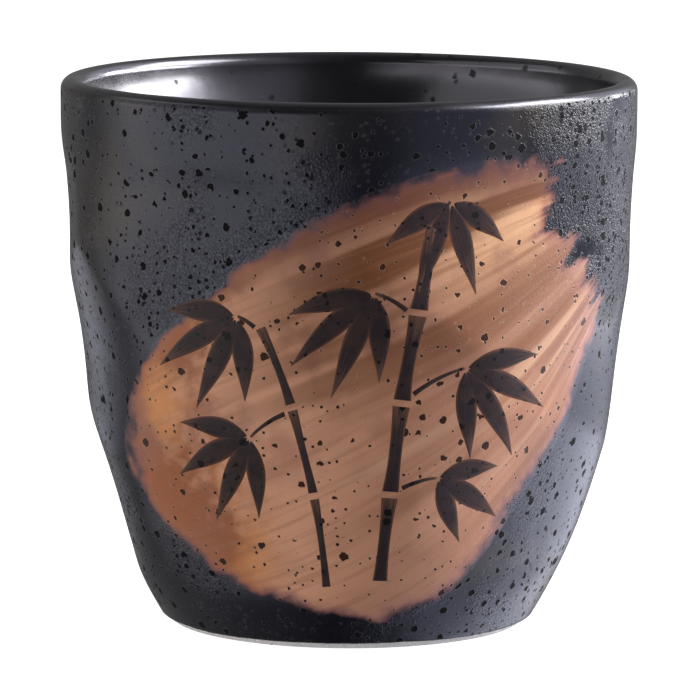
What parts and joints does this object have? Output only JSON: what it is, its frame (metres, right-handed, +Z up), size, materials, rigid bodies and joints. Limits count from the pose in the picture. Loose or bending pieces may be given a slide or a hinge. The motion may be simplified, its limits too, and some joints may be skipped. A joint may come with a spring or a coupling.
{
  "type": "handleless tea cup",
  "caption": "Tall handleless tea cup with a round lip, a dented tapering wall, a bare foot ring and a brushed tan swath with painted leaves; holds a hot drink.",
  "frame": {"origin": "on the table, under the middle of the foot", "axes": "+Z up through the mouth, the painted front faces -Y"},
  "size_m": [0.08, 0.0802, 0.076],
  "materials": {
    "stoneware": "matte",
    "bare_clay": "matte",
    "black_glaze": "gloss",
    "charcoal_glaze": "satin",
    "base_coat": "satin",
    "tan_slip": "satin",
    "iron_brown": "satin"
  },
  "bodies": {
    "root": {"clay_body": "stoneware", "foot_ring": "bare_clay", "liner_glaze": "black_glaze", "outer_glaze": "charcoal_glaze", "base_glaze": "base_coat", "slip_patch": "tan_slip", "culm_strokes": "iron_brown", "twig_strokes": "iron_brown", "leaf_strokes": "iron_brown"}
  },
  "joints": []
}
